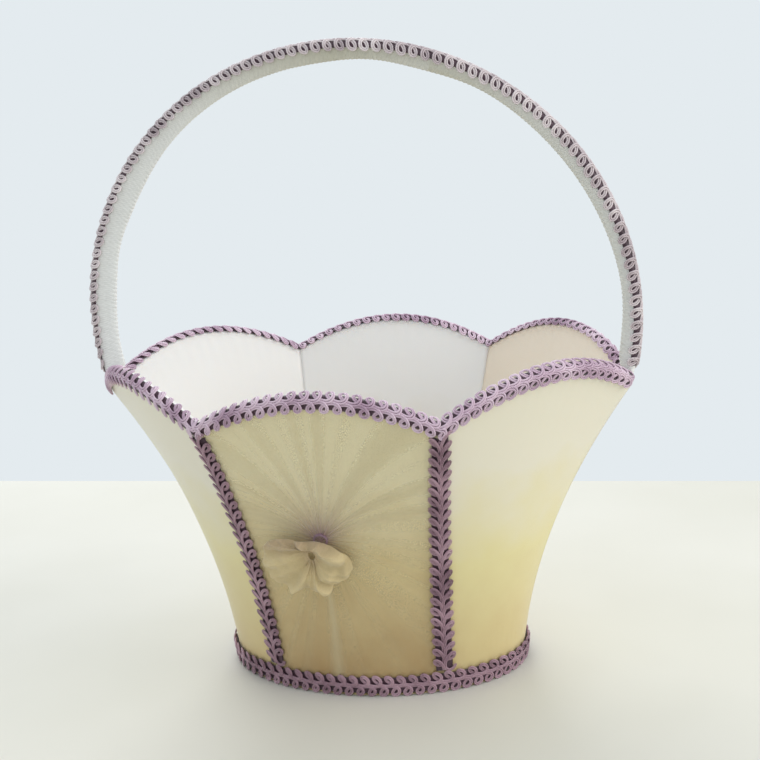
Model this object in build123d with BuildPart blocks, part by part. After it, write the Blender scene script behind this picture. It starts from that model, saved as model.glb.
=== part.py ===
"""Flower girl basket: a soldered wire frame covered inside and out with stretched cloth.

The rim is six scallops in plan and in height, the base is an oval, and six ribs flare
between them. A tall hoop handle stands on the two ends of the rim. Gimp braid hides the
cloth's edges at the rim, the base, the four long-side ribs and round the handle's outer edge.
The long front side carries a gathered tulle overlay that ends in a tied rosette.

Frame: +Z up, +X along the basket towards its right handle foot, -Y towards the front with
the rosette. The origin is the middle of the underside, which rests at Z = 0.
"""

import math
import os

from build123d import *

# ---- driving dimensions, in millimetres and degrees ----

# Rim, measured to the centre of the rim wire at its six corners
rim_half_length = 124.5
rim_half_side = 51.9
rim_half_depth = 69.8
rim_height = 136.2
rim_end_lift = 0.5

# Scallops of the two long sides and of the four ends: how far they rise and bow outwards
side_rise = 14.0
side_bow = 6.8
end_rise = 16.0
end_bow = 10.0

# Base oval, measured to the centre of the base wire
base_half_length = 69.5
base_half_depth = 41.7
base_rib_x = 39.0
base_wire_height = 2.9

# Share of a rib's outward run that it takes at its foot: 1 is straight, less flares later
flare_start = 0.27

# Handle hoop, half an ellipse and a little more, measured up from the rim's ends
handle_rise = 155.0
handle_widest_rise = 32.0

# Wires
rim_wire_radius = 1.5
base_wire_radius = 1.5
rib_wire_radius = 1.25
handle_wire_radius = 1.75

# Cloth layers and gimp
layer_gap = 0.2
cloth_thickness = 0.6
overlay_thickness = 0.5
gimp_width = 11.0
gimp_thickness = 2.0
rim_gimp_lean = 90.0
rim_ridge_height = 2.7

# Floor of the basket
board_height = 1.6
board_thickness = 2.5
floor_clearance = 0.35

# Ruched sleeve on the handle, and how far its sewn tabs and its gimp stop from the rim
sleeve_depth = 12.0
sleeve_width = 5.0
sleeve_wall = 0.75
sleeve_lift = 4.2
tab_drop = 14.0
tab_width = 4.0
tab_gap = 1.9
handle_gimp_lift = 6.2
handle_slot_gap = 0.3

# Rosette on the front overlay
gather_share = 0.43
gather_height = 84.0
neck_radius = 2.5
neck_length = 3.2
tie_radius = 0.7
puff_half_width = 20.0
puff_half_height = 12.5
puff_depth = 10.0
puff_drop = 11.0
puff_aside = 6.0
puff_rounding = 4.5

# Sections lofted across one scallop
sections_per_scallop = 9

# ---- values that follow from the driving ones ----

# Offsets outwards from the surface through the wires' centres
solder_radius = rim_wire_radius - layer_gap / 4
cover_inside = rim_wire_radius + layer_gap
cover_outside = cover_inside + cloth_thickness
overlay_inside = cover_outside + layer_gap
overlay_outside = overlay_inside + overlay_thickness
gimp_inside = overlay_outside + layer_gap
gimp_outside = gimp_inside + gimp_thickness

rib_angle = math.acos(base_rib_x / base_half_length)
rim_end_height = rim_height + rim_end_lift

# The handle's ellipse runs through the centre of the rim wire at both ends
handle_widest_height = rim_end_height + handle_widest_rise
handle_half_height = handle_rise - handle_widest_rise
handle_half_width = rim_half_length / math.sqrt(1 - (handle_widest_rise / handle_half_height) ** 2)

# Corners of the rim in plan and height, with their ribs' angles on the base oval
corners = {
    "right": (Vector(rim_half_length, 0, rim_end_height), 0.0),
    "back_right": (Vector(rim_half_side, rim_half_depth, rim_height), rib_angle),
    "back_left": (Vector(-rim_half_side, rim_half_depth, rim_height), math.pi - rib_angle),
    "left": (Vector(-rim_half_length, 0, rim_end_height), math.pi),
    "front_left": (Vector(-rim_half_side, -rim_half_depth, rim_height), math.pi + rib_angle),
    "front_right": (Vector(rim_half_side, -rim_half_depth, rim_height), 2 * math.pi - rib_angle),
}

# The six sides of the basket, anticlockwise: name, first and last corner, rise and bow
sides = {
    "back_right_side": ("right", "back_right", end_rise, end_bow),
    "back_side": ("back_right", "back_left", side_rise, side_bow),
    "back_left_side": ("back_left", "left", end_rise, end_bow),
    "front_left_side": ("left", "front_left", end_rise, end_bow),
    "front_side": ("front_left", "front_right", side_rise, side_bow),
    "front_right_side": ("front_right", "right", end_rise, end_bow),
}


def rim_controls(side):
    """The three control points of one scallop of the rim wire."""
    start, end, rise, bow = sides[side]
    first, last = corners[start][0], corners[end][0]
    chord = last - first
    outwards = Vector(chord.Y, -chord.X, 0).normalized()
    middle = (first + last) / 2 + outwards * (2 * bow) + Vector(0, 0, 2 * rise)
    return first, middle, last


class Slice:
    """An upright slice through a side of the basket, from the base wire to the rim wire.

    In its own plane, x runs outwards from the base wire and y is the height.
    """

    def __init__(self, side, share):
        start, end, _, _ = sides[side]
        turn = (corners[end][1] - corners[start][1]) % (2 * math.pi)
        angle = corners[start][1] + turn * share
        foot = Vector(base_half_length * math.cos(angle), base_half_depth * math.sin(angle))
        first, middle, last = rim_controls(side)
        top = first * (1 - share) ** 2 + middle * (2 * share * (1 - share)) + last * share**2
        run = Vector(top.X - foot.X, top.Y - foot.Y, 0)
        outwards = run.normalized()
        self.plane = Plane(origin=foot, x_dir=outwards, z_dir=outwards.cross(Vector(0, 0, 1)))
        self.foot = Vector(0, base_wire_height)
        self.top = Vector(run.length, top.Z)
        self.middle = Vector(flare_start / 2 * run.length, (base_wire_height + top.Z) / 2)
        self.foot_tangent = (self.middle - self.foot).normalized()
        self.top_tangent = (self.top - self.middle).normalized()
        self.foot_normal = Vector(self.foot_tangent.Y, -self.foot_tangent.X)
        self.top_normal = Vector(self.top_tangent.Y, -self.top_tangent.X)
        # A slice isn't square to the cloth near a corner, so offsets measured in it are longer
        base_slope = Vector(-base_half_length * math.sin(angle), base_half_depth * math.cos(angle), 0)
        rim_slope = (middle - first) * (1 - share) + (last - middle) * share
        self.foot_stretch = 1 / abs(outwards.cross(base_slope.normalized()).Z)
        self.top_stretch = 1 / abs(outwards.cross(Vector(rim_slope.X, rim_slope.Y, 0).normalized()).Z)

    def offset_curve(self, distance):
        """The slice's curve, moved outwards square to the cloth."""
        both = (self.foot_normal + self.top_normal) / (1 + self.foot_normal.dot(self.top_normal))
        return (
            self.foot + self.foot_normal * (distance * self.foot_stretch),
            self.middle + both * (distance * (self.foot_stretch + self.top_stretch) / 2),
            self.top + self.top_normal * (distance * self.top_stretch),
        )

    def near_top(self, along, out):
        """A point given along the cloth past the rim wire, and outwards from it."""
        return self.top + self.top_tangent * along + self.top_normal * (out * self.top_stretch)

    def rim_gimp_outline(self):
        """The gimp at the rim: flat on the cover, then folded in over the wire."""
        leg = gimp_width / 2
        lean = math.radians(rim_gimp_lean)
        corner_rise = rim_ridge_height + gimp_thickness * math.tan(lean / 2)
        tip_rise = corner_rise + leg * math.cos(lean)
        tip_out = gimp_outside - leg * math.sin(lean)
        return [
            self.near_top(rim_ridge_height - leg, gimp_inside),
            self.near_top(rim_ridge_height - leg, gimp_outside),
            self.near_top(corner_rise, gimp_outside),
            self.near_top(tip_rise, tip_out),
            self.near_top(
                tip_rise - gimp_thickness * math.sin(lean), tip_out - gimp_thickness * math.cos(lean)
            ),
            self.near_top(rim_ridge_height, gimp_inside),
        ]

    def above_rib_gimp_outline(self):
        """All that a rib's gimp must stay out of, so that it stops under the rim's gimp."""
        low = rim_ridge_height - gimp_width / 2 - layer_gap
        high = 2 * gimp_width
        return [
            self.near_top(low, -gimp_width),
            self.near_top(low, gimp_width),
            self.near_top(high, gimp_width),
            self.near_top(high, -gimp_width),
        ]

    def base_gimp_outline(self):
        """The gimp round the base, from the table up, leaning with the cover."""
        lean = self.foot_tangent.X / self.foot_tangent.Y
        low = -base_wire_height * lean
        high = (gimp_width - base_wire_height) * lean
        near, far = gimp_inside * self.foot_stretch, gimp_outside * self.foot_stretch
        return [
            Vector(near + low, 0),
            Vector(far + low, 0),
            Vector(far + high, gimp_width),
            Vector(near + high, gimp_width),
        ]


def side_slices(side):
    last = sections_per_scallop - 1
    return [Slice(side, step / last) for step in range(sections_per_scallop)]


def cloth_panel(side, inside, outside):
    """One side's width of cloth, mitred in the planes of its two ribs."""
    with BuildPart() as panel:
        for cut in side_slices(side):
            near, far = cut.offset_curve(inside), cut.offset_curve(outside)
            with BuildSketch(cut.plane):
                with BuildLine():
                    Bezier(*near)
                    Line(near[2], far[2])
                    Bezier(*far)
                    Line(far[0], near[0])
                make_face()
        loft()
    return panel.part


def trim_strip(side, outline):
    """One side's length of gimp, with the outline that each slice gives."""
    with BuildPart() as strip:
        for cut in side_slices(side):
            with BuildSketch(cut.plane):
                with BuildLine():
                    Polyline(*outline(cut), close=True)
                make_face()
        loft()
    return strip.part


def tube(path, radius):
    """A round wire along one curve."""
    with BuildPart() as wire:
        with BuildLine() as spine:
            add(path)
        with BuildSketch(Plane(origin=spine.line @ 0, z_dir=spine.line % 0)):
            Circle(radius)
        sweep()
    return wire.part


def write(part, name):
    part.label = name
    export_step(part, f"parts/{name}.step")


os.makedirs("parts", exist_ok=True)

# ---- wire frame ----

rim_tubes = [tube(Bezier(*rim_controls(side)), rim_wire_radius) for side in sides]
with BuildPart() as rim_wire:
    for rim_tube in rim_tubes:
        add(rim_tube)
    # Beads of solder, a little slimmer than the wire, fill the corners where the scallops meet
    with Locations(*[corner for corner, _ in corners.values()]):
        Sphere(solder_radius)
write(rim_wire.part, "rim_wire")

with BuildPart() as base_wire:
    with BuildLine(Plane.XY.offset(base_wire_height)) as base_oval:
        EllipticalCenterArc((0, 0), base_half_length, base_half_depth, start_angle=0, arc_size=360)
    with BuildSketch(Plane(origin=base_oval.line @ 0, z_dir=base_oval.line % 0)):
        Circle(base_wire_radius)
    sweep()
write(base_wire.part, "base_wire")

for side, (corner, _, _, _) in sides.items():
    cut = Slice(side, 0)
    spine = Bezier(*[cut.plane.from_local_coords(point) for point in (cut.foot, cut.middle, cut.top)])
    rib_tube = tube(spine, rib_wire_radius)
    with BuildPart() as rib_wire:
        add(rib_tube)
        add(rim_wire.part, mode=Mode.SUBTRACT)
        add(base_wire.part, mode=Mode.SUBTRACT)
    write(rib_wire.part, f"{corner}_rib_wire")


def hoop_angle(height, grow):
    """Where the handle's ellipse, grown outwards, comes down to a height on its right side."""
    drop = (height - handle_widest_height) / (handle_half_height + grow)
    return math.degrees(math.asin(drop))


def hoop_arc(height, grow):
    """The handle's ellipse, grown outwards, from a height on the right over to the left."""
    angle = hoop_angle(height, grow)
    return EllipticalCenterArc(
        (0, handle_widest_height),
        handle_half_width + grow,
        handle_half_height + grow,
        start_angle=angle,
        arc_size=180 - 2 * angle,
    )


def hoop_band(height, outside, inside, half_width):
    """A square-edged band that follows the handle, between two growths of its ellipse."""
    with BuildPart() as band:
        with BuildSketch(Plane.XZ):
            with BuildLine():
                outer = hoop_arc(height, outside)
                inner = hoop_arc(height, inside)
                Line(outer @ 0, inner @ 0)
                Line(outer @ 1, inner @ 1)
            make_face()
        extrude(amount=half_width, both=True)
    return band.part


with BuildPart() as handle_wire:
    with BuildLine(Plane.XZ) as hoop:
        hoop_arc(rim_end_height + rim_wire_radius / 2, 0)
    with BuildSketch(Plane(origin=hoop.line @ 0, z_dir=hoop.line % 0)):
        Circle(handle_wire_radius)
    sweep()
    # The feet are coped over the rim wire
    add(rim_wire.part, mode=Mode.SUBTRACT)
write(handle_wire.part, "handle_wire")

# ---- floor ----

# Inside the linings' feet, and inside the base gimp
floor_inset = cover_outside + floor_clearance
bottom_outset = gimp_inside - floor_clearance - layer_gap

with BuildPart() as bottom_cloth:
    with BuildSketch(Plane.XY):
        Ellipse(base_half_length + bottom_outset, base_half_depth + bottom_outset)
    extrude(amount=cloth_thickness)
write(bottom_cloth.part, "bottom_cloth")

with BuildPart() as base_board:
    with BuildSketch(Plane.XY.offset(board_height)):
        Ellipse(base_half_length - floor_inset, base_half_depth - floor_inset)
    extrude(amount=board_thickness)
write(base_board.part, "base_board")

with BuildPart() as floor_lining:
    with BuildSketch(Plane.XY.offset(board_height + board_thickness + layer_gap)):
        Ellipse(base_half_length - floor_inset, base_half_depth - floor_inset)
    extrude(amount=cloth_thickness)
write(floor_lining.part, "floor_lining")

# ---- cloth sides ----

for side in sides:
    write(cloth_panel(side, cover_inside, cover_outside), f"{side}_cover")
    write(cloth_panel(side, -cover_outside, -cover_inside), f"{side}_lining")

write(cloth_panel("front_side", overlay_inside, overlay_outside), "front_tulle")

# ---- gimp ----

handle_gimp_inside = handle_wire_radius + sleeve_wall + layer_gap
handle_gimp_outside = handle_gimp_inside + gimp_thickness
handle_gimp_half_width = sleeve_width / 2 + layer_gap + gimp_thickness
slot_width = 2 * (handle_gimp_half_width + handle_slot_gap)

rim_gimp_runs = {
    "front_rim_gimp": ("front_left_side", "front_side", "front_right_side"),
    "back_rim_gimp": ("back_right_side", "back_side", "back_left_side"),
}
for name, run in rim_gimp_runs.items():
    strips = [trim_strip(side, Slice.rim_gimp_outline) for side in run]
    with BuildPart() as rim_gimp:
        for strip in strips:
            add(strip)
        # The run stops on each side of the handle's feet
        Box(4 * rim_half_length, slot_width, 4 * rim_height, mode=Mode.SUBTRACT)
    write(rim_gimp.part, name)

base_strips = [trim_strip(side, Slice.base_gimp_outline) for side in sides]
with BuildPart() as base_gimp:
    for strip in base_strips:
        add(strip)
write(base_gimp.part, "base_gimp")

rim_zones = [trim_strip(side, Slice.above_rib_gimp_outline) for side in sides]
gimp_skins = {side: cloth_panel(side, gimp_inside, gimp_outside) for side in sides}
names = list(sides)
for before, after in (names[0:2], names[1:3], names[3:5], names[4:6]):
    corner = sides[after][0]
    rib_plane = Slice(after, 0).plane
    with BuildPart() as rib_gimp:
        add(gimp_skins[before])
        add(gimp_skins[after])
        with BuildSketch(rib_plane):
            Rectangle(4 * rim_half_length, 4 * rim_height)
        extrude(amount=gimp_width / 2, both=True, mode=Mode.INTERSECT)
        # Each stops on top of the base's gimp and under the rim's
        Box(4 * rim_half_length, 4 * rim_half_length, 2 * (gimp_width + layer_gap), mode=Mode.SUBTRACT)
        for zone in rim_zones:
            add(zone, mode=Mode.SUBTRACT)
    write(rib_gimp.part, f"{corner}_rib_gimp")

# ---- handle sleeve and its gimp ----

sleeve_outside = handle_wire_radius + sleeve_wall
sleeve_inside = sleeve_outside - sleeve_depth
sleeve_foot = rim_end_height + sleeve_lift
tunnel_reach = handle_wire_radius + layer_gap

# The sewn tabs go down inside the linings, which close in on the sleeve's two faces
end_slice = Slice("back_right_side", 0)
end_first, end_middle, _ = rim_controls("back_right_side")
closing_in = (end_first.X - end_middle.X) / (end_middle.Y - end_first.Y)
lining_inset = cover_outside * end_slice.top_stretch / end_slice.top_tangent.Y
shoulder_x = rim_half_length - lining_inset - closing_in * sleeve_width / 2 - tab_gap
tab_run = end_slice.top_tangent * tab_drop

tunnel = hoop_band(rim_end_height, tunnel_reach, -tunnel_reach, tunnel_reach)
with BuildPart() as handle_sleeve:
    with BuildSketch(Plane.XZ) as sleeve_face:
        with BuildLine():
            outer = hoop_arc(sleeve_foot, sleeve_outside)
            inner = hoop_arc(sleeve_foot, sleeve_inside)
            for start, end, way in ((outer @ 0, inner @ 0, -1), (outer @ 1, inner @ 1, 1)):
                shoulder = Vector(-way * shoulder_x, rim_end_height)
                tab_end = shoulder + Vector(way * tab_run.X, -tab_run.Y)
                Polyline(start, (shoulder.X, sleeve_foot), shoulder, tab_end, tab_end + (way * tab_width, 0), end)
        make_face()
    extrude(amount=sleeve_width / 2, both=True)
    # The wire's tunnel is open at both feet
    add(tunnel, mode=Mode.SUBTRACT)
write(handle_sleeve.part, "handle_sleeve")

gimp_foot = rim_end_height + handle_gimp_lift
gimp_lip = handle_gimp_outside - gimp_width / 2
gimp_block = hoop_band(gimp_foot, handle_gimp_outside, gimp_lip, handle_gimp_half_width)
gimp_channel = hoop_band(gimp_foot, handle_gimp_inside, gimp_lip, sleeve_width / 2 + layer_gap)
with BuildPart() as handle_gimp:
    add(gimp_block)
    add(gimp_channel, mode=Mode.SUBTRACT)
write(handle_gimp.part, "handle_gimp")

# ---- rosette ----

cut = Slice("front_side", gather_share)
rise_share = (gather_height - base_wire_height) / (cut.top.Y - base_wire_height)
near = cut.offset_curve(overlay_outside + layer_gap)
knot = near[0] * (1 - rise_share) ** 2 + near[1] * (2 * rise_share * (1 - rise_share)) + near[2] * rise_share**2
climb = (near[1] - near[0]) * (1 - rise_share) + (near[2] - near[1]) * rise_share
knot_point = cut.plane.from_local_coords(knot)
upwards = (cut.plane.from_local_coords(knot + climb) - knot_point).normalized()
knot_plane = Plane(origin=knot_point, x_dir=Vector(1, 0, 0), z_dir=Vector(1, 0, 0).cross(upwards))

with BuildPart() as rosette:
    with BuildSketch(knot_plane):
        Circle(neck_radius)
    extrude(amount=neck_length + puff_rounding)
    with BuildSketch(knot_plane.offset(neck_length)):
        with Locations((-puff_aside, -puff_drop)):
            Ellipse(puff_half_width, puff_half_height)
    extrude(amount=puff_depth)
write(rosette.part, "rosette")

with BuildPart() as rosette_tie:
    with Locations(knot_plane.offset(neck_length / 2)):
        Torus(neck_radius + layer_gap + tie_radius, tie_radius)
write(rosette_tie.part, "rosette_tie")
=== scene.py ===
import math

import bmesh
import bpy
import numpy as np
from mathutils import Matrix, Vector, noise


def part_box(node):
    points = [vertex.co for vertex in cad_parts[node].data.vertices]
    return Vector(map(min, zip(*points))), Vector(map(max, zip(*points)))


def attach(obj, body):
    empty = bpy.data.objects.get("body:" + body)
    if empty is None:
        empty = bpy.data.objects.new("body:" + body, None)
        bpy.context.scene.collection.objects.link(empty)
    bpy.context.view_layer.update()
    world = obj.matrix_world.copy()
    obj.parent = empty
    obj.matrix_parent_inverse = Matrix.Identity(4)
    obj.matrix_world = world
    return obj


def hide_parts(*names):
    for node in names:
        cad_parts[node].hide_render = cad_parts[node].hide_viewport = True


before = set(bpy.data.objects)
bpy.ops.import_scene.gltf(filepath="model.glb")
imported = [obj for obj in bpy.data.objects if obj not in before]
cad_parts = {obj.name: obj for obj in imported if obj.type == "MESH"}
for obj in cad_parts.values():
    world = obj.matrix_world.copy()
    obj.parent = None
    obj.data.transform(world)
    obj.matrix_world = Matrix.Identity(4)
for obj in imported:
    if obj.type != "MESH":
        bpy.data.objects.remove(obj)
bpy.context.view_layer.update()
mm = 0.001
print("frame loaded")


basket = dict(
    wireRadius=1.5 * mm,
    cornerX=51.9 * mm,  # where the long sides' ribs meet the rim
    footX=39.0 * mm,  # where those ribs stand on the base oval
    sideRise=14 * mm,
    sideBow=6.8 * mm,
    endRise=16 * mm,
    endBow=10 * mm,
    endLift=0.5 * mm,
    flareStart=0.27,
    coverOut=2.3 * mm,  # outside of the cloth, from the wires' centres
    gimpOut=3.1 * mm,  # underside of the gimp
)

rimLow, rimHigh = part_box("rim_wire")
baseLow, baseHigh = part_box("base_wire")
rimHalfLength = rimHigh[0] - basket["wireRadius"]
cornerY = rimHigh[1] - basket["sideBow"] - basket["wireRadius"]
cornerZ = rimLow[2] + basket["wireRadius"]
endZ = cornerZ + basket["endLift"]
baseHalfLength = baseHigh[0] - basket["wireRadius"]
baseHalfDepth = baseHigh[1] - basket["wireRadius"]
footZ = baseLow[2] + basket["wireRadius"]
footAngle = math.acos(basket["footX"] / baseHalfLength)

corners = dict(
    right=((rimHalfLength, 0, endZ), 0.0),
    backRight=((basket["cornerX"], cornerY, cornerZ), footAngle),
    backLeft=((-basket["cornerX"], cornerY, cornerZ), math.pi - footAngle),
    left=((-rimHalfLength, 0, endZ), math.pi),
    frontLeft=((-basket["cornerX"], -cornerY, cornerZ), math.pi + footAngle),
    frontRight=((basket["cornerX"], -cornerY, cornerZ), 2 * math.pi - footAngle),
)
sides = dict(
    back_right_side=("right", "backRight"),
    back_side=("backRight", "backLeft"),
    back_left_side=("backLeft", "left"),
    front_left_side=("left", "frontLeft"),
    front_side=("frontLeft", "frontRight"),
    front_right_side=("frontRight", "right"),
)


class Slice:
    # upright slices through one side, one for each share of its width; every value is an array
    def __init__(self, side, share):
        start, end = sides[side]
        isSide = side in ("front_side", "back_side")
        rise = basket["sideRise"] if isSide else basket["endRise"]
        bow = basket["sideBow"] if isSide else basket["endBow"]
        share = np.atleast_1d(np.asarray(share, float))[:, None]
        turn = (corners[end][1] - corners[start][1]) % (2 * math.pi)
        angle = corners[start][1] + turn * share[:, 0]
        self.foot = np.stack(
            [baseHalfLength * np.cos(angle), baseHalfDepth * np.sin(angle), 0 * angle], 1
        )
        first, last = np.array(corners[start][0]), np.array(corners[end][0])
        chord = last - first
        outwards = np.array([chord[1], -chord[0], 0])
        outwards /= np.linalg.norm(outwards)
        middle = (first + last) / 2 + outwards * 2 * bow + np.array([0, 0, 2 * rise])
        top = first * (1 - share) ** 2 + middle * 2 * share * (1 - share) + last * share**2
        flatRun = top - self.foot
        flatRun[:, 2] = 0
        run = np.linalg.norm(flatRun, axis=1)
        self.out = flatRun / run[:, None]
        zero = 0 * run
        self.p0 = np.stack([zero, zero + footZ], 1)
        self.p2 = np.stack([run, top[:, 2]], 1)
        self.p1 = np.stack([basket["flareStart"] / 2 * run, (footZ + top[:, 2]) / 2], 1)
        self.t0 = unit(self.p1 - self.p0)
        self.t2 = unit(self.p2 - self.p1)
        self.n0 = np.stack([self.t0[:, 1], -self.t0[:, 0]], 1)
        self.n2 = np.stack([self.t2[:, 1], -self.t2[:, 0]], 1)
        baseSlope = unit(np.stack([-baseHalfLength * np.sin(angle), baseHalfDepth * np.cos(angle)], 1))
        rimSlope = unit(((middle - first) * (1 - share) + (last - middle) * share)[:, :2])
        self.footStretch = 1 / np.abs(
            self.out[:, 0] * baseSlope[:, 1] - self.out[:, 1] * baseSlope[:, 0]
        )
        self.topStretch = 1 / np.abs(self.out[:, 0] * rimSlope[:, 1] - self.out[:, 1] * rimSlope[:, 0])

    def place(self, p):
        point = self.foot + self.out * p[:, :1]
        point[:, 2] = p[:, 1]
        return point

    def panel(self, climb, offset):
        # a point a share of the way up the cloth, moved outwards from the wires' surface
        climb = np.asarray(climb, float)[:, None]
        offset = np.broadcast_to(offset, climb[:, 0].shape)[:, None]
        fs, ts = self.footStretch[:, None], self.topStretch[:, None]
        both = (self.n0 + self.n2) / (1 + (self.n0 * self.n2).sum(1))[:, None]
        a = self.p0 + self.n0 * offset * fs
        b = self.p1 + both * offset * (fs + ts) / 2
        c = self.p2 + self.n2 * offset * ts
        return self.place(a * (1 - climb) ** 2 + b * 2 * climb * (1 - climb) + c * climb**2)

    def nearTop(self, along, outside):
        along = np.broadcast_to(along, self.topStretch.shape)[:, None]
        outside = np.broadcast_to(outside, self.topStretch.shape)[:, None]
        return self.place(self.p2 + self.t2 * along + self.n2 * outside * self.topStretch[:, None])

    def nearFoot(self, height, outside):
        lean = self.t0[:, 0] / self.t0[:, 1]
        height = np.broadcast_to(height, lean.shape)
        return self.place(np.stack([outside * self.footStretch + (height - footZ) * lean, height], 1))


def unit(v):
    return v / np.maximum(np.linalg.norm(v, axis=-1, keepdims=True), 1e-12)


def smooth(x, low, high):
    t = np.clip((np.asarray(x, float) - low) / (high - low), 0, 1)
    return t * t * (3 - 2 * t)


def ripples(points, scale, seed):
    # smooth noise for an array of points, from -1 to 1
    return np.array([noise.noise(Vector(p) / scale + Vector((seed, 0.37 * seed, 1.7))) for p in points])


def addMesh(name, points, faces, uv=None, attributes=None):
    mesh = bpy.data.meshes.new(name)
    mesh.from_pydata([tuple(p) for p in np.asarray(points, float)], [], [tuple(f) for f in faces])
    if uv is not None:
        layer = mesh.uv_layers.new(name="weave")
        loops = np.zeros(len(mesh.loops), int)
        mesh.loops.foreach_get("vertex_index", loops)
        layer.data.foreach_set("uv", np.asarray(uv, float)[loops].astype(np.float32).ravel())
    for key, values in (attributes or {}).items():
        attribute = mesh.attributes.new(key, "FLOAT", "POINT")
        attribute.data.foreach_set("value", np.asarray(values, np.float32))
    mesh.polygons.foreach_set("use_smooth", np.ones(len(mesh.polygons), bool))
    mesh.validate()
    piece = bpy.data.objects.new(name, mesh)
    bpy.context.scene.collection.objects.link(piece)
    return piece


def gridFaces(rows, columns, closeColumns=False):
    faces = []
    for i in range(rows - 1):
        for j in range(columns if closeColumns else columns - 1):
            k, n = (i + 1) % rows, (j + 1) % columns
            faces.append((i * columns + j, i * columns + n, k * columns + n, k * columns + j))
    return faces


def thicken(piece, thickness, offset):
    solid = piece.modifiers.new("clothThickness", "SOLIDIFY")
    solid.thickness = thickness
    solid.offset = offset
    return piece


def finishPiece(piece, material, nodes=()):
    piece.data.materials.append(material)
    if nodes:
        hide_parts(*nodes)
    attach(piece, "root")
    return piece


def toLinear(hexColour):
    values = [int(hexColour[i : i + 2], 16) / 255 for i in (1, 3, 5)]
    return tuple(v / 12.92 if v <= 0.04045 else ((v + 0.055) / 1.055) ** 2.4 for v in values) + (1.0,)


def addNode(tree, kind, settings=None, **links):
    node = tree.nodes.new(kind)
    for key, value in (settings or {}).items():
        if key == "stops":
            elements = node.color_ramp.elements
            while len(elements) < len(value):
                elements.new(0.5)
            for element, (place, colour) in zip(elements, value):
                element.position, element.color = place, toLinear(colour)
        elif isinstance(key, int) or key in node.inputs:
            node.inputs[key].default_value = value
        else:
            setattr(node, key, value)
    for key, source in links.items():
        socket = node.inputs[int(key[1:])] if key[0] == "i" and key[1:].isdigit() else node.inputs[key]
        tree.links.new(source, socket)
    return node


def newMaterial(name):
    material = bpy.data.materials.new(name)
    material.use_nodes = True
    tree = material.node_tree
    tree.nodes.clear()
    shader = addNode(tree, "ShaderNodeBsdfPrincipled")
    output = addNode(tree, "ShaderNodeOutputMaterial")
    tree.links.new(shader.outputs[0], output.inputs["Surface"])
    return material, tree, shader


satin = dict(threadSpacing=0.35 * mm, sheen=0.25, roughness=0.42)


def satinCloth(name, low, mid, high, translucent):
    # woven polyester satin: floats give a soft broad gloss along one direction, with a faint thread grain
    material, tree, shader = newMaterial(name)
    place = addNode(tree, "ShaderNodeTexCoord")
    # UVs are in metres; threads are drawn about three times as coarse as real ones so that they show
    weave = addNode(
        tree,
        "ShaderNodeMapping",
        {"Scale": (1 / satin["threadSpacing"],) * 3},
        Vector=place.outputs["UV"],
    )
    warp = addNode(
        tree,
        "ShaderNodeTexWave",
        {"Scale": 0.5, "Distortion": 0.6, "Detail": 2.0},
        Vector=weave.outputs[0],
    )
    weft = addNode(
        tree,
        "ShaderNodeTexWave",
        {"bands_direction": "Y", "Scale": 0.25, "Distortion": 0.5},
        Vector=weave.outputs[0],
    )
    threads = addNode(
        tree, "ShaderNodeMath", {"operation": "ADD"}, i0=warp.outputs["Fac"], i1=weft.outputs["Fac"]
    )
    cloud = addNode(
        tree, "ShaderNodeTexNoise", {"Scale": 45.0, "Detail": 3.0}, Vector=place.outputs["Object"]
    )
    height = addNode(tree, "ShaderNodeSeparateXYZ", None, Vector=place.outputs["Object"])
    shade = addNode(
        tree,
        "ShaderNodeMapRange",
        {"From Min": 0.0, "From Max": float(endZ), "To Min": 0.0, "To Max": 1.0},
        Value=height.outputs["Z"],
    )
    mixed = addNode(
        tree,
        "ShaderNodeMath",
        {"operation": "MULTIPLY_ADD", 1: 0.35},
        i0=cloud.outputs["Fac"],
        i2=shade.outputs[0],
    )
    # painted light: lighter towards the rim, where light soaks through the cloth from inside, and painted
    # shade darker towards the base
    stops = [(0.2, low), (0.65, mid), (1.0, high)]
    base = addNode(tree, "ShaderNodeValToRGB", {"stops": stops}, Fac=mixed.outputs[0])
    tree.links.new(base.outputs["Color"], shader.inputs["Base Color"])
    bump = addNode(
        tree, "ShaderNodeBump", {"Strength": 0.10, "Distance": 0.05 * mm}, Height=threads.outputs[0]
    )
    tree.links.new(bump.outputs[0], shader.inputs["Normal"])
    shader.inputs["Roughness"].default_value = satin["roughness"]
    shader.inputs["Sheen Weight"].default_value = satin["sheen"]
    shader.inputs["Sheen Roughness"].default_value = 0.4
    shader.inputs["Specular IOR Level"].default_value = 0.35
    shader.inputs["Subsurface Weight"].default_value = translucent
    shader.inputs["Subsurface Radius"].default_value = (0.006, 0.005, 0.004)
    return material


def steelWire():
    # drawn mild steel wire: fine lengthwise draw marks, mid roughness
    material, tree, shader = newMaterial("drawnSteelWire")
    place = addNode(tree, "ShaderNodeTexCoord")
    marks = addNode(
        tree, "ShaderNodeTexNoise", {"Scale": 900.0, "Detail": 4.0}, Vector=place.outputs["Object"]
    )
    stops = [(0.3, "#8d8f92"), (0.7, "#b5b7ba")]
    tone = addNode(tree, "ShaderNodeValToRGB", {"stops": stops}, Fac=marks.outputs["Fac"])
    tree.links.new(tone.outputs["Color"], shader.inputs["Base Color"])
    bump = addNode(
        tree, "ShaderNodeBump", {"Strength": 0.2, "Distance": 0.02 * mm}, Height=marks.outputs["Fac"]
    )
    tree.links.new(bump.outputs[0], shader.inputs["Normal"])
    shader.inputs["Metallic"].default_value = 1.0
    shader.inputs["Roughness"].default_value = 0.38
    return material


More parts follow.
